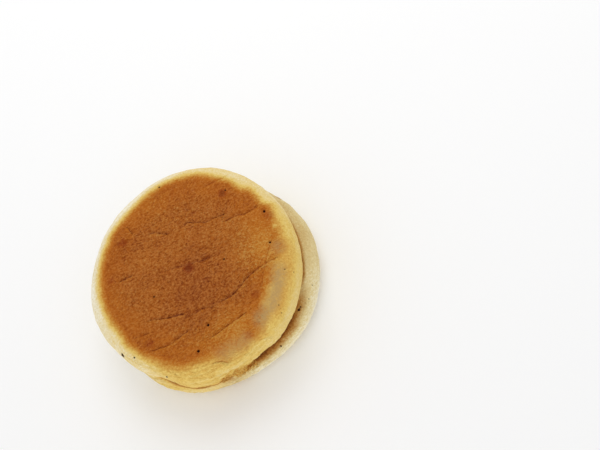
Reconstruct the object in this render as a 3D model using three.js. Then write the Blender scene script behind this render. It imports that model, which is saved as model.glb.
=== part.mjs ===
// A soft, flat bread roll, baked on a hot plate and turned once.
// It is one solid of two soft lobes, one above the other. A fold runs round the side where they meet:
// it gapes at the front, is narrow at the right and the back, and closes at the left.
// Millimetres, +Z up, the origin on the base under the middle of the roll, with the front at -Y.

import * as THREE from "three";

const { degToRad, radToDeg, euclideanModulo, lerp, smoothstep } = THREE.MathUtils;

// Driving dimensions
const HEIGHT = 38; // from the flat base to the top of the upper face
const UPPER_RADIUS = 51.8; // mean radius of the upper lobe at its widest
const LOWER_RADIUS = 53; // mean radius of the lower lobe at its widest
const FOLD_HEIGHT = 17; // mean height of the fold round the side

// Upper face and base
const SHOULDER_WIDTH = 8.5; // from the edge of the upper face out to the widest point
const FOOT_WIDTH = 9; // from the widest point of the lower lobe in to the edge of the base
const FACE_DOME = 1.3; // how far the edge of the upper face lies under its middle
const FACE_WAVE = { height: 0.35, length: 41, slant: 0.5 }; // slow waves across the upper face

// Squareness of each rounded stretch of the side: 2 is an ellipse, and more is squarer
const SHOULDER_SQUARENESS = 2.1;
const LIP_SQUARENESS = 2.7;
const LEDGE_SQUARENESS = 2.2;
const FOOT_SQUARENESS = 2.2;

// Outlines seen from above: each wave has a number of crests, a height, and the bearing of a crest in degrees
const UPPER_OUTLINE = [
  { crests: 1, height: 1.7, bearing: 34 }, // the upper lobe has slipped to the back right
  { crests: 2, height: 0.65, bearing: 42 },
  { crests: 3, height: 0.3, bearing: 52 },
  { crests: 4, height: 0.55, bearing: 35 },
  { crests: 5, height: 0.35, bearing: 4 },
  { crests: 6, height: 0.3, bearing: -18 },
];
const UPPER_DENT = { bearing: -153, halfWidth: 15, softness: 11, depth: 2.4 }; // drawn in where the crease begins
const LOWER_OUTLINE = [
  { crests: 1, height: 3.45, bearing: -3 }, // the lower lobe stands out to the right
  { crests: 2, height: 1.05, bearing: -19 },
  { crests: 3, height: 0.6, bearing: -36 },
  { crests: 4, height: 0.35, bearing: 37 },
  { crests: 6, height: 0.45, bearing: -18 },
  { crests: 8, height: 0.25, bearing: -18 },
];

// Fold: its height follows slow waves, and it opens in stretches
const FOLD_COURSE = [
  { crests: 1, height: 3.4, bearing: 20 }, // low at the left and high at the right
  { crests: 5, height: 0.5, bearing: -75 },
  { crests: 9, height: 0.25, bearing: 5 },
];
const FOLD_SHALLOW = 0.3; // depth where the skin runs on over the closed fold
const FOLD_STRETCHES = [
  { bearing: -139, halfWidth: 30, softness: 20, depth: 3.2 }, // a crease along the front left
  { bearing: -79, halfWidth: 31, softness: 12, depth: 6 }, // a gape along the front
  { bearing: -32, halfWidth: 52, softness: 20, depth: 2.8 }, // a crease along the right
  { bearing: 83, halfWidth: 86, softness: 30, depth: 3.5 }, // and another along the back
];
const FOLD_GAP = 0.3; // height of the slit at the bottom of a closed fold
const FOLD_GAP_SHARE = 0.1; // how much of its depth an open fold adds to that
const FOLD_OPEN_DEPTH = 3.2; // a fold this deep has fully rounded lips

// Mesh: each ring of the two faces has six more points than the ring inside it
const RING_STEP = 6;
const FACE_RINGS = 16;
const SHOULDER_ROWS = 6;
const LIP_ROWS = 6;
const LEDGE_ROWS = 5;
const FOOT_ROWS = 6;

const CRUST = { color: 0xc48a4a, roughness: 0.85, metalness: 0 };

// Sum of waves round the roll, at an angle in radians
function waves(list, angle) {
  const rise = ({ crests, height, bearing }) => height * Math.cos(crests * (angle - degToRad(bearing)));
  return list.reduce((sum, wave) => sum + rise(wave), 0);
}

// Depth of a stretch of the side at an angle: whole in its middle, and nothing past its half width
function stretchDepth({ bearing, halfWidth, softness, depth }, angle) {
  const away = Math.abs(euclideanModulo(radToDeg(angle) - bearing + 180, 360) - 180);
  return depth * (1 - smoothstep(away, halfWidth - softness, halfWidth));
}

const upperRadius = (angle) => UPPER_RADIUS + waves(UPPER_OUTLINE, angle) - stretchDepth(UPPER_DENT, angle);
const lowerRadius = (angle) => LOWER_RADIUS + waves(LOWER_OUTLINE, angle);
const foldHeight = (angle) => FOLD_HEIGHT + waves(FOLD_COURSE, angle);
const foldDepth = (angle) =>
  FOLD_STRETCHES.reduce((sum, stretch) => sum + stretchDepth(stretch, angle), FOLD_SHALLOW);

// A point of the upper face, given by its angle and its share of the way out to the face's edge.
// The face is a low dome with slow waves across it.
function facePoint(angle, share) {
  const radius = share * (upperRadius(angle) - SHOULDER_WIDTH);
  const x = radius * Math.cos(angle);
  const y = radius * Math.sin(angle);
  const pitch = (2 * Math.PI) / FACE_WAVE.length;
  const wave = Math.sin(pitch * (x + FACE_WAVE.slant * y)) * Math.cos(pitch * (y - FACE_WAVE.slant * x));
  const dome = FACE_DOME * (radius / UPPER_RADIUS) ** 2;
  return { radius, z: HEIGHT - FACE_WAVE.height * (1 - wave) - dome };
}

// A point of the flat base, given in the same way
function basePoint(angle, share) {
  return { radius: share * (lowerRadius(angle) - FOOT_WIDTH), z: 0 };
}

// A rounded quarter of the section from one point to the other, without the first point.
// It leaves level and arrives upright, or the other way round.
function quarter(from, to, rows, squareness, leavesLevel) {
  const points = [];
  for (let row = 1; row <= rows; row += 1) {
    const turn = (row / rows) * (Math.PI / 2);
    const early = Math.sin(turn) ** (2 / squareness);
    const late = 1 - Math.max(0, Math.cos(turn)) ** (2 / squareness);
    points.push({
      radius: lerp(from.radius, to.radius, leavesLevel ? early : late),
      z: lerp(from.z, to.z, leavesLevel ? late : early),
    });
  }
  return points;
}

// Eases the waist's section towards a smooth skin from one bulge to the other, where the fold closes
function closeWaist(openWaist, upperBulge, lowerBulge, openness) {
  return openWaist.map((open, i) => {
    const share = (i + 1) / openWaist.length;
    const skinRadius = lerp(upperBulge.radius, lowerBulge.radius, smoothstep(share, 0, 1));
    const skinZ = lerp(upperBulge.z, lowerBulge.z, share);
    return { radius: lerp(skinRadius, open.radius, openness), z: lerp(skinZ, open.z, openness) };
  });
}

// The side's section at an angle, from the edge of the upper face down to the edge of the base
function sideSection(angle) {
  const upper = upperRadius(angle);
  const lower = lowerRadius(angle);
  const fold = foldHeight(angle);
  const depth = foldDepth(angle);
  const foldRadius = Math.min(upper, lower) - depth;
  const halfSlit = (FOLD_GAP + FOLD_GAP_SHARE * depth) / 2;

  const faceEdge = facePoint(angle, 1);
  const upperBulge = { radius: upper, z: (fold + faceEdge.z) / 2 };
  const foldRoof = { radius: foldRadius, z: fold + halfSlit };
  const foldFloor = { radius: foldRadius, z: fold - halfSlit };
  const lowerBulge = { radius: lower, z: fold / 2 };
  const baseEdge = basePoint(angle, 1);

  const openWaist = [
    ...quarter(upperBulge, foldRoof, LIP_ROWS, LIP_SQUARENESS, false),
    foldFloor,
    ...quarter(foldFloor, lowerBulge, LEDGE_ROWS, LEDGE_SQUARENESS, true),
  ];
  const openness = smoothstep(depth, FOLD_SHALLOW, FOLD_OPEN_DEPTH);

  return [
    faceEdge,
    ...quarter(faceEdge, upperBulge, SHOULDER_ROWS, SHOULDER_SQUARENESS, true),
    ...closeWaist(openWaist, upperBulge, lowerBulge, openness),
    ...quarter(lowerBulge, baseEdge, FOOT_ROWS, FOOT_SQUARENESS, false),
  ];
}

// A closed ring of points, anticlockwise from above
function ring(count, pointAt) {
  return Array.from({ length: count }, (_, i) => {
    const angle = (2 * Math.PI * i) / count;
    const { radius, z } = pointAt(angle, i);
    return new THREE.Vector3(radius * Math.cos(angle), radius * Math.sin(angle), z);
  });
}

// All rings, from the middle of the upper face out, down the side, and in to the middle of the base
function rollRings() {
  const face = [];
  const base = [];
  for (let step = 0; step < FACE_RINGS; step += 1) {
    const share = step / FACE_RINGS;
    const count = Math.max(1, RING_STEP * step);
    face.push(ring(count, (angle) => facePoint(angle, share)));
    base.unshift(ring(count, (angle) => basePoint(angle, share)));
  }
  const columns = RING_STEP * FACE_RINGS;
  const sections = Array.from({ length: columns }, (_, i) => sideSection((2 * Math.PI * i) / columns));
  const side = sections[0].map((_, row) => ring(columns, (angle, i) => sections[i][row]));
  return [...face, ...side, ...base];
}

// Triangles between two neighbouring rings, always stepping on along the ring that lags behind
function stitch(above, below) {
  const triangles = [];
  const aboveSteps = above.length > 1 ? above.length : 0;
  const belowSteps = below.length > 1 ? below.length : 0;
  let i = 0;
  let j = 0;
  while (i < aboveSteps || j < belowSteps) {
    const lags = (j + 0.5) / belowSteps <= (i + 0.5) / aboveSteps;
    const stepBelow = i === aboveSteps || (j < belowSteps && lags);
    const corner = [above[i % above.length], below[j % below.length]];
    if (stepBelow) {
      j += 1;
      triangles.push(...corner, below[j % below.length]);
    } else {
      i += 1;
      triangles.push(...corner, above[i % above.length]);
    }
  }
  return triangles;
}

// The closed surface, moved so that the middle of its box lies over the origin
function rollGeometry() {
  const rings = rollRings();
  let next = 0;
  const numbered = rings.map((points) => points.map(() => next++));
  const geometry = new THREE.BufferGeometry().setFromPoints(rings.flat());
  geometry.setIndex(numbered.slice(1).flatMap((below, i) => stitch(numbered[i], below)));
  geometry.computeBoundingBox();
  const middle = geometry.boundingBox.getCenter(new THREE.Vector3());
  geometry.translate(-middle.x, -middle.y, 0);
  geometry.computeVertexNormals();
  return geometry;
}

const roll = new THREE.Mesh(rollGeometry(), new THREE.MeshStandardMaterial(CRUST));
roll.name = "bread_roll";

const part = new THREE.Group();
part.add(roll);

export default part;
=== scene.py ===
# A soft, flat bread roll, browned on both faces by a hot plate, with a pale side and a fold round its waist.
# The imported solid gives the form. A Geometry Nodes tree makes it finer and gives it its baked skin.
# The marks it leaves on the mesh tell the crust's material where the skin is browned, creased or torn, and
# where shade is painted.
# A second tree strews crumbs over the torn stretch of the fold.
# Metres, in the imported frame: +Z up through the browned top, with the front at -Y.

import math

import bpy
from mathutils import Matrix, Vector


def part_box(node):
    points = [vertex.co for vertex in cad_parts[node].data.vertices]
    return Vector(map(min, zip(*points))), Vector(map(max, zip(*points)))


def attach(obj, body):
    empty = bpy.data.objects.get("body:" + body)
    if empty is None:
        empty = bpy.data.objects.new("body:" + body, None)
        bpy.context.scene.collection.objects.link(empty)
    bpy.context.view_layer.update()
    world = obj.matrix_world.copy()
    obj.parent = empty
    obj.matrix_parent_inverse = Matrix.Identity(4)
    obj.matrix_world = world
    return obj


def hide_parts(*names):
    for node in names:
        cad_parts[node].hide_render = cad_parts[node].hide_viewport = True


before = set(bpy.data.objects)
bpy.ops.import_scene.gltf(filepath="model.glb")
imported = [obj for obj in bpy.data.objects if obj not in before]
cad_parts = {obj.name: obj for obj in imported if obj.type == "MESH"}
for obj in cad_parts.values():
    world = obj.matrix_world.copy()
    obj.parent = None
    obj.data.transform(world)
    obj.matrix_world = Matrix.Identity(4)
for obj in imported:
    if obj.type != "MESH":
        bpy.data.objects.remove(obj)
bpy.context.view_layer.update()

MM = 0.001

# The solid in the frame
NODE = "bread_roll"
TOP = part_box(NODE)[1].z
LOBE_AXIS = (-3.4 * MM, -0.1 * MM)  # where the axis of the two lobes crosses the base
UPPER_LEVEL = 0.71 * TOP  # height at which the upper lobe is widest
LOWER_LEVEL = 0.21 * TOP  # height at which the lower lobe is widest
FOLD_HEIGHT = 17 * MM
# Waves of the fold's height: crests round the roll, rise, and the bearing of a crest in degrees
FOLD_COURSE = [
    (1, 3.4 * MM, 20),
    (5, 0.5 * MM, -75),
    (9, 0.25 * MM, 5),
]

# View: the camera looks down on the roll from the front, with the picture turned about the view's axis
PICTURE_WIDTH = 600
PICTURE_HEIGHT = 450
FOCAL_PIXELS = 781
SENSOR_WIDTH = 36.0  # in millimetres, as Blender takes it
VIEW_TILT = math.radians(27.5)  # off the roll's axis
VIEW_TURN = math.radians(48)
VIEW_DISTANCE = 378 * MM
VIEW_TARGET = Vector((LOBE_AXIS[0], LOBE_AXIS[1], TOP / 2))
TARGET_PIXEL = (200, 281)

# Baked skin: sizes that the tree takes as its inputs
SEED = 7
FINENESS = 2
SAME_POINT = 0.01 * MM  # corners of the solid that are nearer than this are one point
SKIN_SIZES = {
    "Swell height": 0.4 * MM,
    "Swell length": 22 * MM,
    "Dimple height": 0.14 * MM,
    "Dimple length": 4 * MM,
    "Pebble height": 0.07 * MM,
    "Pebble length": 1.8 * MM,
    "Wrinkle depth": 0.25 * MM,
    "Wrinkle length": 6 * MM,
    "Wrinkle spacing": 1.8 * MM,
    "Crease depth": 0.55 * MM,
    "Crease width": 1.1 * MM,
    "Crease wander": 0.5 * MM,
    "Crinkle depth": 0.3 * MM,
    "Crinkle length": 11 * MM,
    "Crinkle spacing": 2.2 * MM,
    "Pinhole depth": 0.9 * MM,
    "Hollow depth": 0.2 * MM,
    "Tear depth": 0.8 * MM,
    "Tear length": 2 * MM,
    "Lip notch depth": 0.5 * MM,
    "Lip notch length": 2.2 * MM,
    "Fold reach": 5 * MM,
    "Side swell height": 0.8 * MM,
}
WRINKLE_HEADINGS = (-24, 28)  # in degrees from +X: two sets of wrinkles, each in patches of its own
WRINKLE_BAND = (0.0, -0.9)
WRINKLE_PATCH = 18 * MM
WRINKLE_PATCH_BAND = (-0.3, 0.5)

# Crumbs of the torn stretch: sizes that the second tree takes as its inputs
CRUMB_SIZES = {
    "Crumbs per area": 1.0 / MM ** 2,
    "Smallest crumb": 0.1 * MM,
    "Largest crumb": 0.3 * MM,
    "Lump height": 0.15 * MM,
    "Lump length": 0.5 * MM,
}

# Browning: how far inside a lobe's outline the plate's brown begins and is whole
BROWN_BEGINS = 4.1 * MM
BROWN_WHOLE = 11.2 * MM
BROWN_RAGGED = 0.7 * MM
RAGGED_LENGTH = 8 * MM

# Stretches of the side: two bearings in degrees, how softly the stretch ends, and what it adds between them
BROWN_SHIFTS = [  # how far out the brown is shifted
    (-161, -150, 10, 1.6 * MM),
    (-158, -114, 10, 1.1 * MM),
    (-112, -88, 8, 2.6 * MM),
    (-102, -94, 8, 2.0 * MM),
    (-91, -78, 6, 1.3 * MM),
    (-74, -66, 8, -3.2 * MM),
    (-62, -50, 6, -1.4 * MM),
    (-41, -36, 5, 0.5 * MM),
    (-38, -12, 6, 2.4 * MM),
    (-10, 4, 8, 1.4 * MM),
    (42, 72, 14, 1.0 * MM),
    (155, 200, 12, -0.6 * MM),
    (-200, -179, 5, -0.4 * MM),
    (-177, -168, 6, 0.6 * MM),
]
SIDE_BAKE = 0.15
SIDE_BAKES_AND_LIGHT = [  # baking of the upper lobe's side, with painted light and shade
    # its yellower front is partly painted shade, its paler back and left partly painted light
    (-142, -28, 24, 0.13),
    (-150, -118, 12, 0.03),
    (72, 140, 30, -0.1),
    (148, 200, 15, -0.04),
    (-200, -179, 6, -0.035),
]
LOWER_BAKE = 0.165
LOWER_BAKES = [  # baking of the lower lobe's side
    (-165, -120, 15, 0.11),
    (-120, -80, 15, 0.03),
    (-35, 10, 20, 0.08),
]
CRINKLE = 0.08
CRINKLES = [  # how far the side is crinkled
    (-165, -98, 20, 0.9),
    (-80, -40, 20, 0.08),
]
FOLD_GREYS = [(-121, 60, 10, 1.0)]  # where the lower lobe takes greyer browns under the upper one: partly its baking, partly painted shade
FOLD_CLOSED = [(166, 200, 10, 1.0), (-200, -164, 8, 1.0)]  # where the skin runs on over the fold
HOLLOWS = [(-82, -54, 9, 0.95), (-112, -98, 8, 0.5), (-40, -36, 4, 0.5)]  # how far the pale hollow shows
HOLLOW_SHIFTS = [(-112, -90, 8, 2.5 * MM)]  # how far out it is shifted
GLOWS = [(-74, -46, 10, 1.0)]  # where the skin glows orange at the edge of the browned face
LIP_NOTCHES = [(-125, -75, 15, 1.0)]  # where the upper lip is ragged
FOLD_TANS = [(-106, -70, 20, 1.0)]  # where the lower lobe is darker beside the fold
FOLD_GAPES = [(-104, -76, 8, 1.0)]  # where the fold gapes
# painted shade: a dark line on the lower lobe just under the fold, by bearing
FOLD_SHADE_LINES = [  # how far under the fold the skin is dark
    (-150, -130, 10, 2.6 * MM),
    (-136, -128, 6, 0.9 * MM),
    (-58, 8, 8, 1.1 * MM),
]
LOWER_SWELLS = [(-170, -158, 8, 1.0), (-4, 14, 8, 0.9)]  # where the lower lobe swells out
LEDGE_SWELLS = [(-126, -110, 8, 1.2)]  # where its ledge swells up under the fold
LIP_SWELLS = [(-118, -95, 8, -1.0)]  # where the upper lobe's lip swells out, or draws in

# Bands, each from where a mark begins to where it is whole.
# Of a pair of bands, the second ends the mark: it is gone at the first limit and whole at the second.
# By height:
FACE_BAND = (TOP - 9 * MM, TOP - 5 * MM)  # browning of the top
BASE_BAND = (7 * MM, 4 * MM)  # browning of the base
FOOT_BAND = (5 * MM, 8 * MM)  # side above the foot
GREY_BAND = (1 * MM, 5 * MM)  # greyer browns of the lower lobe, partly painted shade
# painted light, by height:
FOOT_LIGHT_BAND = (12 * MM, 6 * MM)  # paler skin towards the foot
# By how far inside the upper lobe's outline:
INNER_FACE_BAND = (12 * MM, 24 * MM)
HOLLOW_BANDS = ((2.8 * MM, 6.2 * MM), (13 * MM, 7.5 * MM))
OUTER_GLOW_BANDS = ((0.3 * MM, 3.8 * MM), (9.5 * MM, 4 * MM))
INNER_GLOW_BANDS = ((7 * MM, 10 * MM), (17 * MM, 11 * MM))
# painted highlight along the upper lobe's lip
LIP_HIGHLIGHT_BAND = (1.2 * MM, 0.2 * MM)
OUTSIDE_BAND = (-0.2 * MM, -1 * MM)
LIP_BAND = (5 * MM, 1 * MM)
NOTCH_BAND = (1.8 * MM, 0.4 * MM)
# By how far inside the lower lobe's outline:
# painted light along the lower lobe's outer rim
LOWER_RIM_LIGHT_BAND = (3 * MM, 0.5 * MM)
TAN_BAND = (0.8 * MM, 5.5 * MM)
GAPE_BAND = (0.2 * MM, 1.6 * MM)
LEDGE_BAND = (0.5 * MM, 2.5 * MM)
# By how far aside of a crease:
CREASE_BAND = (3 * MM, 0.7 * MM)
# painted shade on one slope of a crease, and painted light on the other
PAINTED_SHADE_BANDS = ((1.8 * MM, 0.2 * MM), (-0.5 * MM, 0.0))
PAINTED_LIGHT_BANDS = ((-2.6 * MM, -0.8 * MM), (0.0, -0.6 * MM))

# What the bands add to the baking: the inner glow's, then painted light along the lip, at the foot and on the
# lower lobe's rim
INNER_GLOW_BAKE = -0.09
LIP_HIGHLIGHT_BAKE = -0.05
FOOT_LIGHT_BAKE = -0.07
LOWER_RIM_LIGHT_BAKE = -0.05

# Fold
OPEN_SOFTNESS = 0.4 * MM  # how softly one lobe's skin passes into the other's at the fold
CLOSED_SOFTNESS = 5 * MM  # what is added to that where the fold is closed
LEDGE_RAGGED = 0.4
TAN_SHARE = 0.65
GAPE_SHARE = 0.35
FOLD_SHADE_LINE_BAND = (1.0, 0.5)  # shares of the dark line's reach at which it begins and is whole
LEAST_REACH = 0.01 * MM  # of the dark line, where there is none
SHELTER_CLEARANCE = 0.1 * MM  # how far off the skin the look for another wall begins
SHELTER_FACING = 0.2  # upright share of a normal from which a wall overhead counts in full
SHELTER_BLUR = 4
OVER_SHOULDER = 0.7  # slope at which crinkles run on over the shoulder
CRINKLE_THICKNESS = 0.22

# Creases, each by the points it runs through in millimetres; those of the browned face have no height
DEEP_CREASES = [
    [(13.3, 16), (18.5, 9.3), (22.3, 7.7), (26.7, 5.1)],
    [(25.4, 1.7), (31.1, -0.9), (32.9, -3.2), (39.7, -5.1)],
    [(26.6, -30.1), (21.4, -28.1), (13, -25.9), (8.9, -26), (2, -26.3), (-2.9, -24.7)],
    [(-31.3, -4.1), (-25.4, -10), (-19.3, -14.6)],
    [(-39.2, -15.9), (-33.4, -19.5), (-23.6, -21.5)],
    [(-17.5, -32.4), (-11.1, -33.9), (-1.6, -36.1)],
    [(-27.7, 21.2), (-22.9, 18.8)],
    [(-2.3, 27.3), (-0.1, 25.3), (0.8, 23.3), (2.6, 20)],
    [(-25.2, -41.2, 35), (-23.1, -42.7, 34.2), (-22.3, -44.5, 31.9)],
    [(-7.4, 39.1), (-8.3, 34.2)],
    [(51.6, 0.6, 16), (52.2, -0.8, 15.6), (52, -2.4, 16)],
]
FAINT_CREASES = [
    [(8.7, 16.9), (13.3, 16)],
    [(-9.7, 6.7), (4.6, -3.7), (8.9, -6), (13.3, -8.3)],
    [(-2.9, -24.7), (-10.5, -20.4), (-19.4, -17.3)],
    [(-7.2, -23.7), (-14.5, -18.3)],
    [(-40.7, -4.8), (-36.6, -7.7)],
    [(22.4, -27.8), (28.1, -24.2), (33.5, -21.4)],
    [(30.6, 23.2), (40.4, 19)],
    [(20.4, -29), (13, -34)],
    [(-20.9, -44.8, 32.5), (-20.5, -45.3, 31.7)],
    [(-4.5, -49.1, 32.1), (-2.2, -49.7, 31.3)],
]
CREASE_SIDE = (0.42, 0.91, 0.0)  # a direction that points to one side of all the creases
FAINT_STRENGTH = 0.5
STROKE_POINTS = 5  # points on each stroke of a crease that are laid on the skin

# Spots of more or less heat, each by its place and radius in millimetres and what it adds to the baking
HEATS = [
    (-8, -10, 37, 30, 0.08),
    (27, -22, 37, 24, -0.13),
    (-10, -39, 37, 22, -0.15),
    (-25, 32, 37, 24, 0.03),
    (8, 38, 37, 20, -0.04),
    (-2.5, -0.5, 37, 9, 0.05),
    (4.2, -10.9, 37.5, 0.8, -0.25),
    (-12.4, -20.2, 37.5, 0.8, -0.25),
    (37.6, -18.6, 36.3, 2.2, -0.25),
    (-27, -29, 37, 20, -0.05),
    (-7, -44.9, 36.1, 4.0, 0.14),
]

# Scorched spots, pinholes and torn places, each by its place and its radius in millimetres
SCORCHES = [
    (-2.6, -0.8, 37.7, 3.1),
    (34.1, 13.3, 37, 3.0),
]
SOFT_SCORCHES = [
    (39.9, -12.7, 36.5, 3.2),
    (8.4, -34, 36.8, 3.0),
    (-14.2, 34.5, 37.3, 3.2),
    (-38.5, -11.8, 37, 2.9),
    (-30.9, 25.4, 36.7, 2.6),
    (52, 0.5, 15.5, 2.6),
]
PINHOLES = [
    (39.9, -9.5, 36.7, 0.85),
    (30.5, -22.4, 36.7, 0.6),
    (11.2, -11.1, 37.2, 0.5),
    (-15.4, -27.1, 37, 0.8),
    (-26.6, -31.8, 36.8, 0.7),
    (-22.6, 2.3, 37.5, 0.5),
    (17.1, 41.8, 36.5, 0.55),
    (36.1, 13.2, 36.9, 0.5),
    (-51.6, -3.1, 32.1, 1.25),
    (-48.3, -10, 35.3, 0.45),
    (-44.9, -25.5, 29.6, 0.6),
    (11.7, -45.5, 35.4, 0.3),
    (10, -48.2, 33.2, 0.25),
    (25.5, -36.6, 36.2, 0.25),
    (27.3, -39.6, 33.3, 0.22),
    (16.9, -46.5, 15.4, 0.6),
    (18.6, -46.1, 15.2, 0.4),
    (23.9, -46, 13.7, 0.3),
    (29.8, -42.7, 14, 0.28),
    (-0.9, -50.5, 12.8, 0.5),
]
TEARS = [
    (-29.5, -42, 14.5, 4.2),
    (-27.5, -43.6, 18.5, 4.4),
    (-23.5, -45.8, 17.5, 5.6),
    (-19, -47.2, 16.2, 5.4),
    (-15.5, -47.6, 14.5, 3.6),
]

# Cores of these marks, as shares of their radius, and how far their edges wander
SCORCH_CORE = 0.35
SOFT_SCORCH_CORE = 0.2
PINHOLE_CORE = 0.5
PINHOLE_MOUTH = 0.55
TEAR_CORE = 0.4
SCORCH_WANDER = 0.25 * MM
TEAR_WANDER = 1.5 * MM
WANDER_LENGTH = 3 * MM
PINHOLE_UNEVEN = 0.15  # how far out of round a pinhole's mouth is, as a share of its radius
PINHOLE_UNEVEN_LENGTH = 0.8 * MM
PINHOLE_SHARES = (1, 1, 0.5)  # height counts half, so that a mouth's colour reaches down into its pit
SOFT_SCORCH_SHARE = 0.6  # how strong a soft scorch is


def srgb(red, green, blue):
    """A colour read as 0 to 255 on screen, as the linear values that Blender takes."""

    def linear(level):
        share = level / 255
        return share / 12.92 if share <= 0.04045 else ((share + 0.055) / 1.055) ** 2.4

    return (linear(red), linear(green), linear(blue), 1)


# Colours of the crust and of the lower lobe's greyer browns, partly painted shade, from raw dough to
# scorched, and other colours
BAKING = [
    (0.0, srgb(245, 239, 220)),
    (0.08, srgb(235, 221, 182)),
    (0.16, srgb(230, 206, 143)),
    (0.28, srgb(225, 192, 103)),
    (0.38, srgb(211, 164, 79)),
    (0.48, srgb(198, 138, 56)),
    (0.62, srgb(183, 106, 28)),
    (0.72, srgb(170, 91, 21)),
    (0.8, srgb(153, 76, 14)),
    (0.9, srgb(130, 58, 15)),
    (1.0, srgb(102, 40, 9)),
]
# greyer browns of the lower lobe under the fold: partly its own baking, partly painted shade
GREY_AND_SHADED_BAKING = [
    (0.0, srgb(246, 240, 222)),
    (0.08, srgb(238, 228, 196)),
    (0.16, srgb(225, 206, 153)),
    (0.28, srgb(208, 181, 122)),
    (0.4, srgb(190, 148, 86)),
    (0.52, srgb(172, 120, 54)),
    (0.64, srgb(154, 98, 38)),
    (0.76, srgb(133, 78, 26)),
    (0.9, srgb(108, 60, 18)),
    (1.0, srgb(80, 40, 10)),
]
HOLLOW_COLOUR = srgb(185, 149, 94)
SCORCH_COLOUR = srgb(103, 22, 0)
SOFT_SCORCH_COLOUR = srgb(125, 8, 0)
DUST_AND_HIGHLIGHT_COLOUR = srgb(215, 165, 115)
# painted shade in the pinholes
PINHOLE_SHADE_COLOUR = srgb(48, 8, 1)
FLOOR_COLOUR = srgb(252, 252, 252)

# Grain of the crust and of the crumbs: its length, how far it is drawn out, and its heading in degrees
CRUST_GRAIN = (0.88 * MM, 1.3, -22)
CRUMB_GRAIN = (0.8 * MM, 1.0, 0)
PITS_PER_LENGTH = 0.6
PIT_BAND = (0.4, 0.1)
PIT_SHARE = 0.15

# Marks that the material draws finer than the mesh: lengths, and spacings of those that are drawn out
WRINKLE_LINES = (4 * MM, 1.3 * MM)
WRINKLE_LINE_PATCH = 14 * MM
WRINKLE_LINE_PATCH_BAND = (-0.2, 0.6)
CRINKLE_LINES = (11 * MM, 1.7 * MM)
STREAKS = (14 * MM, 3 * MM)
CRACK_LENGTH = 1.9 * MM
LINE_THICKNESS = 0.3
BLOTCH_LENGTH = 12 * MM
MOTTLE_LENGTH = 1.5 * MM
HOLLOW_MOTTLE_LENGTH = 1.7 * MM
HOLLOW_MOTTLE_BAND = (-1.2, 0.4)
SPECK_LENGTH = 0.8 * MM
SPECK_BAND = (0.9, 1.3)
FLECK_LENGTH = 0.9 * MM
FLECK_BAND = (1.0, 1.35)
CREASE_LINE_WANDER = 0.4 * MM
CREASE_LINE_WANDER_LENGTH = 2.5 * MM
CREASE_LINE_WIDTH = 0.05 * MM
CREASE_LINE_BROADER = 0.6 * MM  # what is added to the width in broad stretches
CREASE_LINE_BROAD_LENGTH = 5 * MM
CREASE_LINE_BROAD_BAND = (-0.6, 0.9)

# Marks that the material reads from the mesh by name
SKIN_MARKS = [
    "browned", "inside", "warmth", "hollow", "glow", "wrinkle", "scorch", "tear",
    "side", "lower", "grey_and_shaded", "fold", "painted_shade", "fold_shade_line", "crinkled", "crinkle",
]

# What each mark adds to the baking, painted shade and light among it: on the browned face, on the side, in
# the fold and anywhere
FACE_BAKE = 0.68
FACE_SHARES = {
    "warmth": 1.0,
    "flecks": -0.1,
    "blotches": 0.03,
    # the grain darkens the crust most in its pits: partly its own tone, partly painted shade
    "grain": 0.115,
    "inside_grain": 0.05,
    # painted shade in the fine wrinkles
    "wrinkle_lines": 0.06,
}
SIDE_SHARES = {
    "side": 1.0,
    "blotches": 0.045,
    "grain": 0.075,
    # painted shade in the crinkles
    "crinkle_lines": 0.05,
    "streaks": 0.06,
    "specks": 0.1,
}
FOLD_SHARES = {
    "fold": 0.6,
    "fold_mottles": 0.16,
    "fold_grain": 0.1,
    # painted shade where another wall of the fold is near
    "painted_shade": 0.22,
}
CRUST_SHARES = {
    # painted shade at the bottoms of the creases
    "crease_line": 0.14,
    # painted shade and light on the creases' slopes
    "painted_crease_slopes": 0.05,
    # painted shade in the wrinkles and crinkles
    "wrinkle": 0.06,
    "crinkle": 0.06,
    "glow": 0.1,
    # painted shade: a dark line under the upper lobe's lip
    "fold_shade_line": 0.24,
    # painted shade in the cracks of the torn stretch
    "cracks": 0.14,
    "tear": 0.1,
    "tear_grain": 0.1,
}
TORN_FOLD = 0.85  # how much less the fold darkens the crust where it is torn
TORN_GREY = 0.6  # how much less of the greyer, partly shaded browns it takes there
CRUMB_BAKE = 0.38
CRUMB_GRAIN_BAKE = 0.1

# Finish of the crust
DUST_AND_HIGHLIGHT_SHARES = {  # share of pale dust, and of painted highlight on the grain's tops
    "browned": 0.015,
    "browned_inside": 0.045,
    # painted highlight on the tops of the grain
    "browned_grain": -0.14,
}
HEIGHT_SHARES = {  # height of the finest relief, in millimetres
    "grain": -0.13,
    "inside_grain": -0.15,
    "browned_grain": -0.07,
    "crease_line": -0.25,
    "wrinkle_lines": -0.12,
    "crinkle_lines": -0.14,
    "cracks": -0.3,
}
PALE_GRAIN = 0.05  # how much darker the grain is where the skin is pale
CRINKLED_GRAIN = 0.04  # what is added to that where it is crinkled
LOWER_CALM = 0.6  # how much less of that the lower lobe has
SCORCH_SHARE = 0.58
DARK_SCORCH_BAND = (0.6, 0.9)
CRUST_ROUGHNESS = 0.8
GRAIN_ROUGHNESS = 0.06
CRUST_GLOSS = 0.12
DULL_ROUGHNESS = 0.9  # of the crumbs and the floor
DULL_GLOSS = 0.1


class Field:
    """The output of a node. Sums and products of fields add the nodes that work them out."""

    def __init__(self, net, socket):
        self.net = net
        self.socket = socket

    def __add__(self, other):
        return self.net.math("ADD", self, other)

    def __sub__(self, other):
        return self.net.math("SUBTRACT", self, other)

    def __rsub__(self, other):
        return self.net.math("SUBTRACT", other, self)

    def __mul__(self, other):
        return self.net.math("MULTIPLY", self, other)

    def __truediv__(self, other):
        return self.net.math("DIVIDE", self, other)

    __radd__ = __add__
    __rmul__ = __mul__


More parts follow.
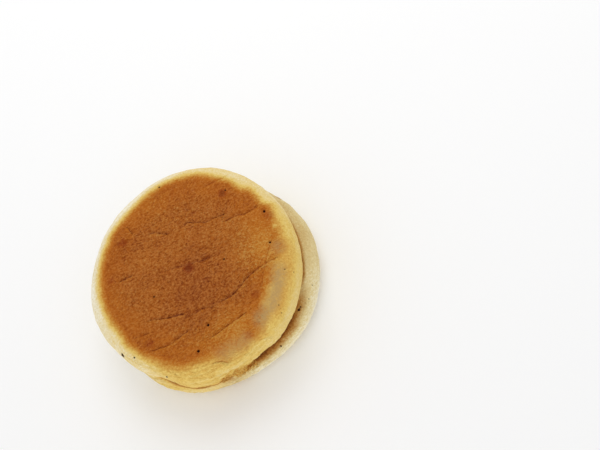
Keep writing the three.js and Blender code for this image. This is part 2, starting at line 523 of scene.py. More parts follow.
class Net:
    """A node tree that is being wired, of geometry or of a material."""

    def __init__(self, tree):
        self.tree = tree

    def node(self, kind, inputs=None, **settings):
        made = self.tree.nodes.new(kind)
        for name, value in settings.items():
            setattr(made, name, value)
        for key, value in (inputs or {}).items():
            self.feed(made.inputs[key], value)
        return made

    def feed(self, socket, value):
        if isinstance(value, Field):
            self.tree.links.new(value.socket, socket)
        else:
            socket.default_value = value

    def field(self, kind, inputs=None, output=0, **settings):
        return Field(self, self.node(kind, inputs, **settings).outputs[output])

    def given(self):
        """The tree's own inputs, by name."""
        return {out.name: Field(self, out) for out in self.node("NodeGroupInput").outputs if out.name}

    def math(self, operation, *values):
        return self.field("ShaderNodeMath", dict(enumerate(values)), operation=operation)

    def vector(self, operation, *values):
        return self.field("ShaderNodeVectorMath", dict(enumerate(values)), operation=operation)

    def length(self, vector):
        return self.field("ShaderNodeVectorMath", {0: vector}, "Value", operation="LENGTH")

    def dot(self, first, second):
        return self.field("ShaderNodeVectorMath", {0: first, 1: second}, "Value", operation="DOT_PRODUCT")

    def scaled(self, vector, share):
        return self.field("ShaderNodeVectorMath", {0: vector, "Scale": share}, operation="SCALE")

    def turned(self, vector, angle):
        """A vector turned about Z, so that X runs along a heading."""
        return self.field("ShaderNodeVectorRotate", {"Vector": vector, "Angle": angle}, invert=True)

    def combined(self, x, y, z):
        return self.field("ShaderNodeCombineXYZ", {"X": x, "Y": y, "Z": z})

    def separated(self, vector):
        return [Field(self, out) for out in self.node("ShaderNodeSeparateXYZ", {0: vector}).outputs]

    def smooth(self, value, start, end):
        """Rises softly from 0 at the start to 1 at the end."""
        limits = {"Value": value, "From Min": start, "From Max": end}
        return self.field("ShaderNodeMapRange", limits, interpolation_type="SMOOTHSTEP")

    def between(self, value, bands):
        """Rises softly across the first band, and falls again across the second."""
        rise, fall = bands
        return self.smooth(value, *rise) * self.smooth(value, *fall)

    def largest(self, first, second):
        return self.math("MAXIMUM", first, second)

    def noise(self, place, length, seed, detail=1.0, roughness=0.5):
        """Soft noise from about -1 to 1, with blobs of a length."""
        scale = self.math("DIVIDE", 1.0, length)
        inputs = {"Vector": place, "W": seed, "Scale": scale, "Detail": detail, "Roughness": roughness}
        return (self.field("ShaderNodeTexNoise", inputs, noise_dimensions="4D") - 0.5) * 4

    def lines(self, place, seed, thickness):
        """Thin wandering lines: 1 along them and 0 between."""
        away = self.math("ABSOLUTE", self.noise(place, 1.0, seed))
        return self.smooth(away, thickness, 0.0)

    def mixed(self, share, first, second):
        """A mix of two colours."""
        node = self.node("ShaderNodeMix", {0: share, 6: first, 7: second}, data_type="RGBA")
        return Field(self, node.outputs[2])

    def joined(self, parts):
        join = self.node("GeometryNodeJoinGeometry")
        for part in parts:
            self.tree.links.new(part.socket, join.inputs[0])
        return Field(self, join.outputs[0])


# Where the skin lies on the roll

def ray(net, skin, start, direction, reach):
    """Whether a ray hits the skin, and how far away."""
    inputs = {"Target Geometry": skin, "Source Position": start}
    node = net.node("GeometryNodeRaycast", {**inputs, "Ray Direction": direction, "Ray Length": reach})
    return Field(net, node.outputs["Is Hit"]), Field(net, node.outputs["Hit Distance"])


def lobe_inset(net, skin, position, level):
    """How far inside the outline of a lobe each place lies, seen from above."""
    axis = net.combined(LOBE_AXIS[0], LOBE_AXIS[1], level)
    out = net.vector("MULTIPLY", net.vector("SUBTRACT", position, axis), (1, 1, 0))
    hit, widest = ray(net, skin, axis, out, 1.0)
    on_axis = (1.0 - hit) * TOP
    return widest + on_axis - net.length(out)


class Place:
    """Where each point of the skin lies on the roll. Its bearing runs from 0 at +X, in radians."""

    def __init__(self, net, skin, seed):
        self.position = net.field("GeometryNodeInputPosition")
        self.x, self.y, self.z = net.separated(self.position)
        self.bearing = net.math("ARCTAN2", self.y - LOBE_AXIS[1], self.x - LOBE_AXIS[0])
        self.inset = lobe_inset(net, skin, self.position, UPPER_LEVEL)
        self.base_inset = lobe_inset(net, skin, self.position, LOWER_LEVEL)
        self.ragged = net.noise(self.position, RAGGED_LENGTH, seed + 7.0, detail=4.0) * BROWN_RAGGED


def by_bearing(net, bearing, stretches):
    """What the stretches of the side add up to at each bearing."""
    total = 0.0
    for start, end, softness, amount in stretches:
        start, end, softness = (math.radians(value) for value in (start, end, softness))
        opens = net.smooth(bearing, start - softness, start)
        closes = net.smooth(bearing, end + softness, end)
        total = opens * closes * amount + total
    return total


def fold_height(net, bearing):
    """Height of the fold at each bearing."""
    height = FOLD_HEIGHT
    for crests, rise, crest in FOLD_COURSE:
        height = net.math("COSINE", (bearing - math.radians(crest)) * crests) * rise + height
    return height


# Marks on the skin

def wandering(net, wander, seed):
    """Each place moved a little aside, so that marks read there get uneven edges."""
    position = net.field("GeometryNodeInputPosition")
    aside = []
    for step in (0.0, 0.3, 0.6):
        aside.append(net.noise(position, WANDER_LENGTH, seed + step, detail=2.0) * wander)
    return net.vector("ADD", position, net.combined(*aside))


def laid_on(net, skin, marks):
    """Marks moved onto the nearest place of the skin."""
    nearest = net.field("GeometryNodeProximity", {"Geometry": skin}, "Position", target_element="FACES")
    return net.field("GeometryNodeSetPosition", {"Geometry": marks, "Position": nearest})


def mark_offsets(net, skin, places, place):
    """Where a place lies from the middle of the nearest round mark, in radii of that mark."""
    points = []
    for x, y, z, radius in places:
        settings = {"Position": (x * MM, y * MM, z * MM), "Radius": radius * MM}
        points.append(net.field("GeometryNodePoints", settings))
    marks = laid_on(net, skin, net.joined(points))
    near = {"Geometry": marks, "Sample Position": place}
    nearest = net.field("GeometryNodeSampleNearest", near, domain="POINT")
    sample = {"Geometry": marks, "Index": nearest, "Value": net.field("GeometryNodeInputRadius")}
    radius = net.field("GeometryNodeSampleIndex", sample, data_type="FLOAT", domain="POINT")
    middle = net.field("GeometryNodeProximity", near, "Position", target_element="POINTS")
    return net.scaled(net.vector("SUBTRACT", place, middle), net.math("DIVIDE", 1.0, radius))


def round_marks(net, skin, places, place, core):
    """How near a place is to a round mark: 1 in its core, a share of its radius, and 0 past its rim."""
    return net.smooth(net.length(mark_offsets(net, skin, places, place)), 1.0, core)


def crease_paths(net, skin, creases):
    """Creases as edges that lie on the skin. A point that has no height starts from the top's."""
    strokes = []
    for points in creases:
        corners = [Vector((*point, TOP / MM)[:3]) * MM for point in points]
        for start, end in zip(corners, corners[1:]):
            strokes.append(net.field("GeometryNodeCurvePrimitiveLine", {"Start": start, "End": end}))
    paths = net.field("GeometryNodeResampleCurve", {"Curve": net.joined(strokes), "Count": STROKE_POINTS})
    return laid_on(net, skin, net.field("GeometryNodeCurveToMesh", {"Curve": paths}))


def path_distance(net, paths, place):
    """How far a place is from the nearest crease."""
    near = {"Geometry": paths, "Sample Position": place}
    return net.field("GeometryNodeProximity", near, "Distance", target_element="EDGES")


def crease_marks(net, skin, place, size):
    """Where the skin sinks into creases, how near they are, and how far aside of the nearest each place lies.
    What lies aside is above 0 on one side of a crease and below 0 on the other."""
    deep = crease_paths(net, skin, DEEP_CREASES)
    faint = crease_paths(net, skin, FAINT_CREASES)
    uneven = wandering(net, size["Crease wander"], size["Seed"] + 8.0)
    sunk, near = 0.0, 0.0
    for paths, strength in ((deep, 1.0), (faint, FAINT_STRENGTH)):
        sinks = net.smooth(path_distance(net, paths, uneven), size["Crease width"], 0.0)
        nears = net.smooth(path_distance(net, paths, place.position), *CREASE_BAND)
        sunk = net.largest(sinks * strength, sunk)
        near = net.largest(nears * strength, near)
    both = {"Geometry": net.joined([deep, faint])}
    nearest = net.field("GeometryNodeProximity", both, "Position", target_element="EDGES")
    away = net.vector("SUBTRACT", place.position, nearest)
    side = net.math("SIGN", net.dot(away, CREASE_SIDE))
    aside = net.math("MINIMUM", net.length(away), CREASE_BAND[0]) * side
    return {"crease": sunk, "crease_near": near, "crease_aside": aside}


def heat_marks(net, position):
    """What the spots of more or less heat add to the baking."""
    total = 0.0
    for x, y, z, radius, extra in HEATS:
        away = net.length(net.vector("SUBTRACT", position, (x * MM, y * MM, z * MM)))
        total = net.smooth(away, radius * MM, 0.0) * extra + total
    return total


def fold_shade_mask(net, skin, reach):
    """How near another wall of the fold is, outwards or overhead, for painted shade: 1 where they touch and 0
    in the open.
    """
    position = net.field("GeometryNodeInputPosition")
    normal = net.field("GeometryNodeInputNormal")
    start = net.vector("ADD", position, net.scaled(normal, SHELTER_CLEARANCE))
    faces_up = net.smooth(net.separated(normal)[2], 0.0, SHELTER_FACING)
    overhead = net.combined(0.0, 0.0, 1.0)
    nearest = 0.0
    for direction, counts in ((normal, 1.0), (overhead, faces_up)):
        hit, distance = ray(net, skin, start, direction, reach)
        nearest = net.largest(hit * (1.0 - distance / reach) * counts, nearest)
    return net.field("GeometryNodeBlurAttribute", {"Value": nearest, "Iterations": SHELTER_BLUR})


def lower_lobe(net, place, below_fold):
    """Where the skin is the lower lobe's: under the fold, or outside the upper lobe's outline."""
    softness = by_bearing(net, place.bearing, FOLD_CLOSED) * CLOSED_SOFTNESS + OPEN_SOFTNESS
    under_fold = net.smooth(below_fold / softness, -1.0, 1.0)
    return net.largest(under_fold, net.smooth(place.inset, *OUTSIDE_BAND))


def side_bake(net, place, lower):
    """How far the side of each lobe is baked, with painted light and shade by bearing, and painted light at
    the lip, the foot and the lower lobe's rim.
    """
    # painted shade at the front and painted light at the back and left, by bearing
    upper_bake = by_bearing(net, place.bearing, SIDE_BAKES_AND_LIGHT) + SIDE_BAKE
    # painted highlight along the upper lobe's lip
    upper_bake = upper_bake + net.smooth(place.inset, *LIP_HIGHLIGHT_BAND) * LIP_HIGHLIGHT_BAKE
    lower_bake = by_bearing(net, place.bearing, LOWER_BAKES) + LOWER_BAKE
    # painted light towards the foot
    lower_bake = lower_bake + net.smooth(place.z, *FOOT_LIGHT_BAND) * FOOT_LIGHT_BAKE
    # painted light along the lower lobe's outer rim
    lower_bake = lower_bake + net.smooth(place.base_inset, *LOWER_RIM_LIGHT_BAND) * LOWER_RIM_LIGHT_BAKE
    return upper_bake + (lower_bake - upper_bake) * lower


def side_marks(net, skin, place, size):
    """How the side is baked, with painted light and shade; how dark the lower lobe is beside the fold; where
    shade is painted in the fold; and where the side swells.
    """
    bearing = place.bearing
    below_fold = fold_height(net, bearing) - place.z
    lower = lower_lobe(net, place, below_fold)
    upper = 1.0 - lower
    above_foot = net.smooth(place.z, *FOOT_BAND)
    grey = net.smooth(place.z, *GREY_BAND) * lower * by_bearing(net, bearing, FOLD_GREYS)
    shade_reach = by_bearing(net, bearing, FOLD_SHADE_LINES) + LEAST_REACH
    # painted shade: a dark line on the lower lobe just under the fold
    fold_shade_line = net.smooth(below_fold / shade_reach, *FOLD_SHADE_LINE_BAND) * lower
    ledge = place.base_inset + place.ragged * LEDGE_RAGGED
    tan = net.smooth(ledge, *TAN_BAND) * by_bearing(net, bearing, FOLD_TANS)
    gape = net.smooth(ledge, *GAPE_BAND) * by_bearing(net, bearing, FOLD_GAPES)
    ledge_swell = net.smooth(ledge, *LEDGE_BAND) * by_bearing(net, bearing, LEDGE_SWELLS)
    lower_swell = (by_bearing(net, bearing, LOWER_SWELLS) + ledge_swell) * lower * above_foot
    lip_swell = net.smooth(place.inset, *LIP_BAND) * upper * by_bearing(net, bearing, LIP_SWELLS)
    return {
        "side": side_bake(net, place, lower),
        "lower": lower,
        # greyer browns, partly painted shade, and the painted shade line under the fold
        "grey_and_shaded": net.largest(grey, fold_shade_line),
        "fold": (tan * TAN_SHARE + gape * GAPE_SHARE) * lower * above_foot,
        # painted shade where another wall of the fold is near
        "painted_shade": fold_shade_mask(net, skin, size["Fold reach"]),
        "fold_shade_line": fold_shade_line,
        "side_swell": lower_swell + lip_swell,
        "lip_notch": net.smooth(place.inset, *NOTCH_BAND) * upper * by_bearing(net, bearing, LIP_NOTCHES),
    }


def brown_marks(net, place):
    """How brown the plate has made each place, and the hollow and the glow at the browned face's edge."""
    bearing = place.bearing
    above = net.smooth(place.z, *FACE_BAND)
    below = net.smooth(place.z, *BASE_BAND)
    edge = place.inset + place.ragged
    top_edge = edge + by_bearing(net, bearing, BROWN_SHIFTS)
    base_edge = place.base_inset + place.ragged
    browned_top = net.smooth(top_edge, BROWN_BEGINS, BROWN_WHOLE) * above
    browned_base = net.smooth(base_edge, BROWN_BEGINS, BROWN_WHOLE) * below
    hollow = net.between(edge + by_bearing(net, bearing, HOLLOW_SHIFTS), HOLLOW_BANDS)
    glows = by_bearing(net, bearing, GLOWS) * above
    inner_glow = net.between(edge, INNER_GLOW_BANDS) * glows
    return {
        "browned": net.largest(browned_top, browned_base),
        "inside": net.smooth(place.inset, *INNER_FACE_BAND),
        "warmth": heat_marks(net, place.position) + inner_glow * INNER_GLOW_BAKE,
        "hollow": hollow * by_bearing(net, bearing, HOLLOWS) * above,
        "glow": net.between(edge, OUTER_GLOW_BANDS) * glows,
    }


def wrinkle_marks(net, place, size):
    """Fine wrinkles along two headings, each set in patches of its own."""
    total = 0.0
    for turn, heading in enumerate(WRINKLE_HEADINGS):
        seed = size["Seed"] + (1.0 + 2.0 * turn)
        along, across, _ = net.separated(net.turned(place.position, math.radians(heading)))
        stretched = net.combined(along / size["Wrinkle length"], across / size["Wrinkle spacing"], 0.0)
        patches = net.smooth(net.noise(place.position, WRINKLE_PATCH, seed), *WRINKLE_PATCH_BAND)
        wrinkles = net.smooth(net.noise(stretched, 1.0, seed + 0.5), *WRINKLE_BAND)
        total = wrinkles * patches + total
    return total


def drawn_round(net, place, length, spacing):
    """Places drawn out, so that what is read there runs round the side and on over the shoulder."""
    x, y, z = net.separated(place)
    reach = net.length(net.combined(x - LOBE_AXIS[0], y - LOBE_AXIS[1], 0.0))
    return net.combined(x / length, y / length, (z - reach * OVER_SHOULDER) / spacing)


def round_lines(net, place, length, spacing, seed):
    """Thin lines that run round the side."""
    return net.lines(drawn_round(net, place, length, spacing), seed, CRINKLE_THICKNESS)


def round_streaks(net, place, length, spacing, seed):
    """Soft streaks that run round the side."""
    return net.noise(drawn_round(net, place, length, spacing), 1.0, seed, detail=3.0)


def crinkle_marks(net, place, size, browned):
    """How far the side is crinkled, and its crinkles."""
    crinkled = (by_bearing(net, place.bearing, CRINKLES) + CRINKLE) * (1.0 - browned)
    seed = size["Seed"] + 6.0
    crinkles = round_lines(net, place.position, size["Crinkle length"], size["Crinkle spacing"], seed)
    return {"crinkled": crinkled, "crinkle": crinkles * crinkled}


def spot_marks(net, skin, place, size):
    """Where the skin is scorched, pitted by pinholes and torn."""
    uneven = wandering(net, SCORCH_WANDER, size["Seed"] + 10.0)
    scorch = round_marks(net, skin, SCORCHES, uneven, SCORCH_CORE)
    soft_scorch = round_marks(net, skin, SOFT_SCORCHES, uneven, SOFT_SCORCH_CORE)
    torn = wandering(net, TEAR_WANDER, size["Seed"] + 11.0)
    return {
        "scorch": net.largest(scorch, soft_scorch * SOFT_SCORCH_SHARE),
        "pinhole": round_marks(net, skin, PINHOLES, place.position, PINHOLE_CORE),
        "tear": round_marks(net, skin, TEARS, torn, TEAR_CORE),
    }


def store(net, skin, name, value, data_type="FLOAT"):
    """The skin with a mark stored on it."""
    inputs = {"Geometry": skin, "Name": name, "Value": value}
    return net.field("GeometryNodeStoreNamedAttribute", inputs, data_type=data_type, domain="POINT")


def stored(net, name):
    """A mark that was stored on the skin."""
    return net.field("GeometryNodeInputNamedAttribute", {"Name": name}, data_type="FLOAT")


def mark_skin(net, skin, size):
    """Leaves on the skin where it is browned, folded, creased, wrinkled, scorched, pitted and torn, and where
    shade is painted under the fold.
    """
    place = Place(net, skin, size["Seed"])
    marks = brown_marks(net, place)
    browned = marks["browned"]
    marks.update(side_marks(net, skin, place, size))
    marks.update(crease_marks(net, skin, place, size))
    marks.update(crinkle_marks(net, place, size, browned))
    marks.update(spot_marks(net, skin, place, size))
    marks["wrinkle"] = wrinkle_marks(net, place, size) * browned
    for name, value in marks.items():
        skin = store(net, skin, name, value)
    offsets = mark_offsets(net, skin, PINHOLES, place.position)
    offsets = net.vector("MULTIPLY", offsets, PINHOLE_SHARES)
    return store(net, skin, "pinhole_offset", offsets, "FLOAT_VECTOR")


# The roll's skin

def new_tree(name, takes, sizes, gives):
    """An empty Geometry Nodes tree that takes a geometry, its fineness, a seed, sizes and a material."""
    tree = bpy.data.node_groups.new(name, "GeometryNodeTree")
    face = tree.interface
    face.new_socket(takes, in_out="INPUT", socket_type="NodeSocketGeometry")
    face.new_socket("Fineness", in_out="INPUT", socket_type="NodeSocketInt")
    face.new_socket("Seed", in_out="INPUT", socket_type="NodeSocketFloat")
    for size in sizes:
        face.new_socket(size, in_out="INPUT", socket_type="NodeSocketFloat")
    face.new_socket("Material", in_out="INPUT", socket_type="NodeSocketMaterial")
    face.new_socket(gives, in_out="OUTPUT", socket_type="NodeSocketGeometry")
    return tree


def finished(net, shape, gives):
    """Ends a tree with plain, smooth geometry in the material it was given."""
    shape = net.field("GeometryNodeSetShadeSmooth", {"Geometry": shape})
    shape = net.field("GeometryNodeRealizeInstances", {"Geometry": shape})
    material = net.given()["Material"]
    shape = net.field("GeometryNodeSetMaterial", {"Geometry": shape, "Material": material})
    net.node("NodeGroupOutput", {gives: shape})


def raise_relief(net, skin, size):
    """Moves the skin along its normals by its swells, dimples, wrinkles, creases, pits and tears."""
    position = net.field("GeometryNodeInputPosition")
    normal = net.field("GeometryNodeInputNormal")
    seed = size["Seed"]
    raised = 0.0
    for kind, turn, detail in (("Swell", 12.0, 1.0), ("Dimple", 13.0, 2.0), ("Pebble", 14.0, 1.0)):
        uneven = net.noise(position, size[kind + " length"], seed + turn, detail)
        raised = uneven * size[kind + " height"] + raised
    for name, kind, turn in (("tear", "Tear", 15.0), ("lip_notch", "Lip notch", 17.0)):
        uneven = net.noise(position, size[kind + " length"], seed + turn, detail=2.0)
        raised = raised + uneven * stored(net, name) * size[kind + " depth"]
    raised = raised + stored(net, "side_swell") * size["Side swell height"]
    sunk = 0.0
    for kind in ("Wrinkle", "Crease", "Crinkle", "Pinhole", "Hollow"):
        sunk = stored(net, kind.lower()) * size[kind + " depth"] + sunk
    offset = net.scaled(normal, raised - sunk)
    moved = net.field("GeometryNodeSetPosition", {"Geometry": skin, "Offset": offset})
    x, y, z = net.separated(position)
    standing = net.combined(x, y, net.largest(z, 0.0))
    return net.field("GeometryNodeSetPosition", {"Geometry": moved, "Position": standing})


def skin_tree():
    """The tree that gives the solid its baked skin."""
    tree = new_tree("Baked skin", "Solid", SKIN_SIZES, "Skin")
    net = Net(tree)
    size = net.given()
    merged = net.field("GeometryNodeMergeByDistance", {"Geometry": size["Solid"], "Distance": SAME_POINT})
    skin = net.field("GeometryNodeSubdivisionSurface", {"Mesh": merged, "Level": size["Fineness"]})
    skin = mark_skin(net, skin, size)
    skin = raise_relief(net, skin, size)
    finished(net, skin, "Skin")
    return tree


def made_mesh(holder, tree, values):
    """The plain mesh that a tree makes from an object, with the tree's inputs set by name."""
    modifier = holder.modifiers.new(tree.name, "NODES")
    modifier.node_group = tree
    for socket in tree.interface.items_tree:
        if socket.name in values:
            modifier[socket.identifier] = values[socket.name]
    depsgraph = bpy.context.evaluated_depsgraph_get()
    mesh = bpy.data.meshes.new_from_object(holder.evaluated_get(depsgraph), depsgraph=depsgraph)
    holder.modifiers.remove(modifier)
    return mesh


def made_piece(name, mesh, tree, sizes, fineness, material):
    """An object that a tree has made from a mesh."""
    piece = bpy.data.objects.new(name, mesh.copy())
    bpy.context.scene.collection.objects.link(piece)
    values = {**sizes, "Fineness": fineness, "Seed": float(SEED), "Material": material}
    piece.data = made_mesh(piece, tree, values)
    return piece


# The crumbs in the torn stretch of the fold

def random_vector(net, low, high, seed):
    """A vector between two limits for each point."""
    inputs = {0: low, 1: high, "Seed": seed}
    return net.field("FunctionNodeRandomValue", inputs, data_type="FLOAT_VECTOR")


def crumb_tree():
    """The tree that strews crumbs over the torn places of the skin."""
    tree = new_tree("Torn crumb", "Skin", CRUMB_SIZES, "Crumbs")
    net = Net(tree)
    size = net.given()
    density = stored(net, "tear") * size["Crumbs per area"]
    strewn = {"Mesh": size["Skin"], "Density": density, "Seed": SEED}
    points = net.field("GeometryNodeDistributePointsOnFaces", strewn, "Points")
    ball = net.field("GeometryNodeMeshIcoSphere", {"Radius": 1.0, "Subdivisions": size["Fineness"]})
    low = net.combined(*[size["Smallest crumb"]] * 3)
    high = net.combined(*[size["Largest crumb"]] * 3)
    turn = random_vector(net, (0, 0, 0), (math.tau, math.tau, math.tau), seed=1)
    scale = random_vector(net, low, high, seed=2)
    shape = {"Points": points, "Instance": ball, "Rotation": turn, "Scale": scale}
    crumbs = net.field("GeometryNodeInstanceOnPoints", shape)
    crumbs = net.field("GeometryNodeRealizeInstances", {"Geometry": crumbs})
    position = net.field("GeometryNodeInputPosition")
    lumps = net.noise(position, size["Lump length"], size["Seed"] + 16.0, detail=2.0) * size["Lump height"]
    offset = net.scaled(net.field("GeometryNodeInputNormal"), lumps)
    crumbs = net.field("GeometryNodeSetPosition", {"Geometry": crumbs, "Offset": offset})
    finished(net, crumbs, "Crumbs")
    return tree


# Materials

def grain_group():
    """A shader group: the fine grain of baked dough, drawn out along a heading, and highest in the pits."""
    tree = bpy.data.node_groups.new("Dough grain", "ShaderNodeTree")
    face = tree.interface
    face.new_socket("Place", in_out="INPUT", socket_type="NodeSocketVector")
    for name in ("Length", "Stretch", "Heading"):
        face.new_socket(name, in_out="INPUT", socket_type="NodeSocketFloat")
    face.new_socket("Grain", in_out="OUTPUT", socket_type="NodeSocketFloat")
    net = Net(tree)
    given = net.given()
    along, across, z = net.separated(net.turned(given["Place"], given["Heading"]))
    drawn = net.combined(along / given["Stretch"], across, z)
    grain = net.noise(drawn, given["Length"], seed=3.0, detail=2.0, roughness=0.75)
    cells = {"Vector": drawn, "Scale": net.math("DIVIDE", PITS_PER_LENGTH, given["Length"])}
    pits = net.smooth(net.field("ShaderNodeTexVoronoi", cells, "Distance"), *PIT_BAND)
    net.node("NodeGroupOutput", {"Grain": grain + pits * PIT_SHARE})
    return tree


def dough_grain(net, place, length, stretch, heading):
    """The grain of dough at each place."""
    values = {"Place": place, "Length": length, "Stretch": stretch, "Heading": math.radians(heading)}
    return net.field("ShaderNodeGroup", values, "Grain", node_tree=GRAIN)


def mark(net, name):
    """A mark that the skin's tree left on the mesh."""
    return net.field("ShaderNodeAttribute", output="Fac", attribute_name=name)


def fill_ramp(ramp, stops):
    """Gives a colour ramp its stops."""
    while len(ramp.elements) > 1:
        ramp.elements.remove(ramp.elements[0])
    first = ramp.elements[0]
    first.position, first.color = stops[0]
    for place, colour in stops[1:]:
        ramp.elements.new(place).color = colour


def baked_colour(net, baked, stops):
    """The colour that dough of a kind takes when it is so far baked."""
    ramp = net.node("ShaderNodeValToRGB", {"Fac": baked})
    fill_ramp(ramp.color_ramp, stops)
    return Field(net, ramp.outputs["Color"])


def crease_lines(net, place):
    """Thin broken lines at the creases' bottoms, where shade is painted, and painted shade and light on their
    slopes.
    """
    near = mark(net, "crease_near")
    wander = net.noise(place, CREASE_LINE_WANDER_LENGTH, seed=8.0, detail=3.0, roughness=0.6)
    aside = mark(net, "crease_aside") + wander * CREASE_LINE_WANDER
    broad = net.noise(place, CREASE_LINE_BROAD_LENGTH, seed=9.0, detail=2.0)
    width = net.smooth(broad, *CREASE_LINE_BROAD_BAND) * CREASE_LINE_BROADER + CREASE_LINE_WIDTH
    line = net.smooth(net.math("ABSOLUTE", aside) / width, 1.0, 0.0) * near
    # painted shade on one slope, painted light on the other
    slope = net.between(aside, PAINTED_SHADE_BANDS) * near - net.between(aside, PAINTED_LIGHT_BANDS) * near
    return line, slope


def wrinkle_lines(net, place):
    """Fine wrinkles along two headings, drawn finer than the mesh."""
    length, spacing = WRINKLE_LINES
    total = 0.0
    for turn, heading in enumerate(WRINKLE_HEADINGS):
        along, across, z = net.separated(net.turned(place, math.radians(heading)))
        stretched = net.combined(along / length, across / spacing, z / length)
        patches = net.noise(place, WRINKLE_LINE_PATCH, seed=20.0 + turn)
        patches = net.smooth(patches, *WRINKLE_LINE_PATCH_BAND)
        total = net.lines(stretched, seed=22.0 + turn, thickness=LINE_THICKNESS) * patches + total
    return total


def pinhole_shade_spots(net, place):
    """The mouths of the pinholes, a little out of round, painted dark as shade."""
    offset = net.field("ShaderNodeAttribute", output="Vector", attribute_name="pinhole_offset")
    away = net.length(offset) + net.noise(place, PINHOLE_UNEVEN_LENGTH, seed=24.0) * PINHOLE_UNEVEN
    return net.smooth(away, 1.0, PINHOLE_MOUTH)


def new_material(name):
    """A material, the net of its nodes, and its shader."""
    material = bpy.data.materials.new(name)
    material.use_nodes = True
    net = Net(material.node_tree)
    return material, net, net.tree.nodes["Principled BSDF"]


def crust_fields(net, place):
    """The skin's marks and the crust's finer ones, by name."""
    fields = {name: mark(net, name) for name in SKIN_MARKS}
    browned, crinkled = fields["browned"], fields["crinkled"]
    grain = dough_grain(net, place, *CRUST_GRAIN)
    mottles = net.noise(place, MOTTLE_LENGTH, seed=30.0, detail=3.0, roughness=0.7)
    cracks = net.lines(net.scaled(place, 1 / CRACK_LENGTH), seed=26.0, thickness=LINE_THICKNESS)
    specks = net.smooth(net.noise(place, SPECK_LENGTH, seed=27.0), *SPECK_BAND)
    fields["grain"] = grain
    for name in ("inside", "browned", "fold", "tear"):
        fields[name + "_grain"] = grain * fields[name]
    fields["browned_inside"] = browned * fields["inside"]
    fields["fold_mottles"] = mottles * fields["fold"]
    fields["cracks"] = cracks * fields["tear"]
    fields["specks"] = specks * fields["lower"]
    fields["flecks"] = net.smooth(net.noise(place, FLECK_LENGTH, seed=28.0), *FLECK_BAND)
    fields["blotches"] = net.noise(place, BLOTCH_LENGTH, seed=5.0, detail=3.0)
    fields["crease_line"], fields["painted_crease_slopes"] = crease_lines(net, place)
    fields["wrinkle_lines"] = wrinkle_lines(net, place) * browned
    fields["crinkle_lines"] = round_lines(net, place, *CRINKLE_LINES, seed=25.0) * crinkled
    fields["streaks"] = round_streaks(net, place, *STREAKS, seed=29.0) * crinkled
    return fields


def weighed(fields, shares):
    """The sum of the fields that are named, each by its share."""
    total = 0.0
    for name, share in shares.items():
        total = fields[name] * share + total
    return total


def how_baked(fields):
    """How far each place of the crust is baked, with painted light and shade added in."""
    face = weighed(fields, FACE_SHARES) + FACE_BAKE
    side = weighed(fields, SIDE_SHARES)
    folded = weighed(fields, FOLD_SHARES) * (1.0 - fields["tear"] * TORN_FOLD)
    return side + (face - side) * fields["browned"] + folded + weighed(fields, CRUST_SHARES)


def crust_colour(net, place, fields):
    """The crust's colour: baked, greyer under the fold with painted shade, dusted and given painted
    highlights, grained, paler in the hollow, and scorched in spots.
    """
    baked = how_baked(fields)
    # greyer browns under the fold, partly painted shade
    grey = fields["grey_and_shaded"] * (1.0 - fields["tear"] * TORN_GREY)
    colour = net.mixed(grey, baked_colour(net, baked, BAKING), baked_colour(net, baked, GREY_AND_SHADED_BAKING))
    # pale dust, and painted highlight on the tops of the grain
    colour = net.mixed(weighed(fields, DUST_AND_HIGHLIGHT_SHARES), colour, DUST_AND_HIGHLIGHT_COLOUR)
    # grain darkens pale skin most in its pits: partly its own tone, partly painted shade
    pale = (1.0 - fields["browned"]) * (1.0 - fields["lower"] * LOWER_CALM)
    darker = pale * fields["grain"] * (fields["crinkled"] * CRINKLED_GRAIN + PALE_GRAIN)
    colour = net.scaled(colour, 1.0 - darker)
    mottles = net.noise(place, HOLLOW_MOTTLE_LENGTH, seed=6.0, detail=4.0, roughness=0.7)
    hollow = fields["hollow"] * net.smooth(mottles, *HOLLOW_MOTTLE_BAND)
    colour = net.mixed(hollow, colour, HOLLOW_COLOUR)
    scorch = fields["scorch"]
    scorched = net.mixed(net.smooth(scorch, *DARK_SCORCH_BAND), SOFT_SCORCH_COLOUR, SCORCH_COLOUR)
    return net.mixed(scorch * SCORCH_SHARE, colour, scorched)


def crust_material():
    """Baked crust: its colour follows how far each place is baked, with painted light and shade."""
    material, net, shader = new_material("baked_crust")
    place = net.field("ShaderNodeTexCoord", output="Object")
    fields = crust_fields(net, place)
    # painted shade in the pinholes' mouths
    colour = net.mixed(pinhole_shade_spots(net, place), crust_colour(net, place, fields), PINHOLE_SHADE_COLOUR)
    relief = {"Distance": MM, "Height": weighed(fields, HEIGHT_SHARES)}
    net.feed(shader.inputs["Base Color"], colour)
    net.feed(shader.inputs["Roughness"], CRUST_ROUGHNESS + fields["grain"] * GRAIN_ROUGHNESS)
    net.feed(shader.inputs["Specular IOR Level"], CRUST_GLOSS)
    net.feed(shader.inputs["Normal"], net.field("ShaderNodeBump", relief))
    return material


def crumb_material():
    """Torn crumb: pale, with a grain of its own."""
    material, net, shader = new_material("torn_crumb")
    place = net.field("ShaderNodeTexCoord", output="Object")
    grain = dough_grain(net, place, *CRUMB_GRAIN)
    net.feed(shader.inputs["Base Color"], baked_colour(net, CRUMB_BAKE + grain * CRUMB_GRAIN_BAKE, BAKING))
    net.feed(shader.inputs["Roughness"], DULL_ROUGHNESS)
    net.feed(shader.inputs["Specular IOR Level"], DULL_GLOSS)
    return material


def floor_material():
    """A dull pale floor."""
    material, net, shader = new_material("pale_floor")
    net.feed(shader.inputs["Base Color"], FLOOR_COLOUR)
    net.feed(shader.inputs["Roughness"], DULL_ROUGHNESS)
    net.feed(shader.inputs["Specular IOR Level"], DULL_GLOSS)
    return material


# Studio

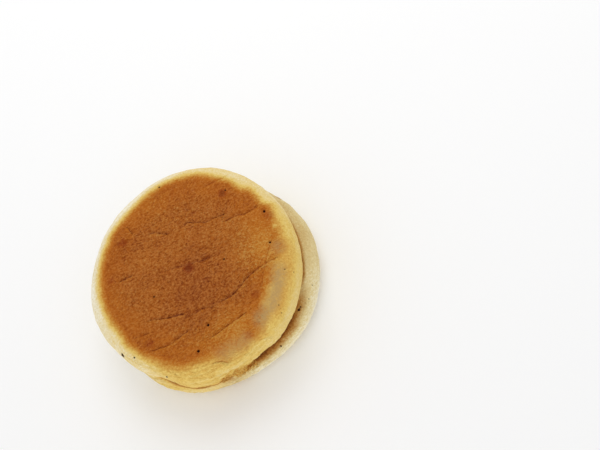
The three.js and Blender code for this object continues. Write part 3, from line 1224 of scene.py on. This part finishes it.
def pale_floor():
    """A floor that reaches past the picture on all sides."""
    half = 10.0
    corners = [(-half, -half, 0), (half, -half, 0), (half, half, 0), (-half, half, 0)]
    mesh = bpy.data.meshes.new("floor")
    mesh.from_pydata(corners, [], [(0, 1, 2, 3)])
    mesh.materials.append(floor_material())
    floor = bpy.data.objects.new("floor", mesh)
    bpy.context.scene.collection.objects.link(floor)
    return floor


def soft_light(name, bearing, elevation, distance, width, height, watts):
    """A soft light that shines on the roll from a bearing and an elevation in degrees."""
    bearing, elevation = math.radians(bearing), math.radians(elevation)
    level = math.cos(elevation)
    toward = Vector((math.cos(bearing) * level, math.sin(bearing) * level, math.sin(elevation)))
    lamp = bpy.data.lights.new(name, "AREA")
    lamp.shape = "RECTANGLE"
    lamp.size = width
    lamp.size_y = height
    lamp.energy = watts
    light = bpy.data.objects.new(name, lamp)
    light.location = toward * distance
    light.rotation_euler = toward.to_track_quat("Z", "Y").to_euler()
    bpy.context.scene.collection.objects.link(light)


def studio():
    """Soft light from all round, with more from above and behind, and from a low strip along the front."""
    world = bpy.data.worlds.new("studio")
    world.use_nodes = True
    background = world.node_tree.nodes["Background"]
    background.inputs["Color"].default_value = (1, 1, 1, 1)
    background.inputs["Strength"].default_value = 0.82
    bpy.context.scene.world = world
    soft_light("key", bearing=42, elevation=54, distance=0.8, width=0.5, height=0.5, watts=1.4)
    soft_light("strip", bearing=-140, elevation=1.2, distance=0.6, width=1.0, height=0.024, watts=1.0)
    bpy.context.scene.view_settings.view_transform = "Standard"


def photo_camera():
    """The camera that sees the roll as it was photographed, with the target at its pixel."""
    back = Vector((0, -math.sin(VIEW_TILT), math.cos(VIEW_TILT)))
    level_right = Vector((1, 0, 0))
    level_up = back.cross(level_right)
    right = math.cos(VIEW_TURN) * level_right - math.sin(VIEW_TURN) * level_up
    up = math.sin(VIEW_TURN) * level_right + math.cos(VIEW_TURN) * level_up
    toward_roll = Matrix((right, up, back)).transposed().to_quaternion()
    column, row = TARGET_PIXEL
    sight = Vector((column - PICTURE_WIDTH / 2, PICTURE_HEIGHT / 2 - row, -FOCAL_PIXELS))
    aside = Vector((0, 0, -1)).rotation_difference(sight)

    lens = bpy.data.cameras.new("camera")
    lens.sensor_width = SENSOR_WIDTH
    lens.lens = FOCAL_PIXELS * SENSOR_WIDTH / PICTURE_WIDTH
    lens.clip_start = 0.01
    camera = bpy.data.objects.new("camera", lens)
    camera.location = VIEW_TARGET + back * VIEW_DISTANCE
    camera.rotation_euler = (toward_roll @ aside.inverted()).to_euler()
    bpy.context.scene.collection.objects.link(camera)
    bpy.context.scene.camera = camera


GRAIN = grain_group()

photo_camera()
studio()
pale_floor()

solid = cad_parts[NODE].data
roll = made_piece("baked_roll", solid, skin_tree(), SKIN_SIZES, FINENESS, crust_material())
crumbs = made_piece("torn_crumb", roll.data, crumb_tree(), CRUMB_SIZES, FINENESS, crumb_material())
for piece in (roll, crumbs):
    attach(piece, "root")
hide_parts(NODE)
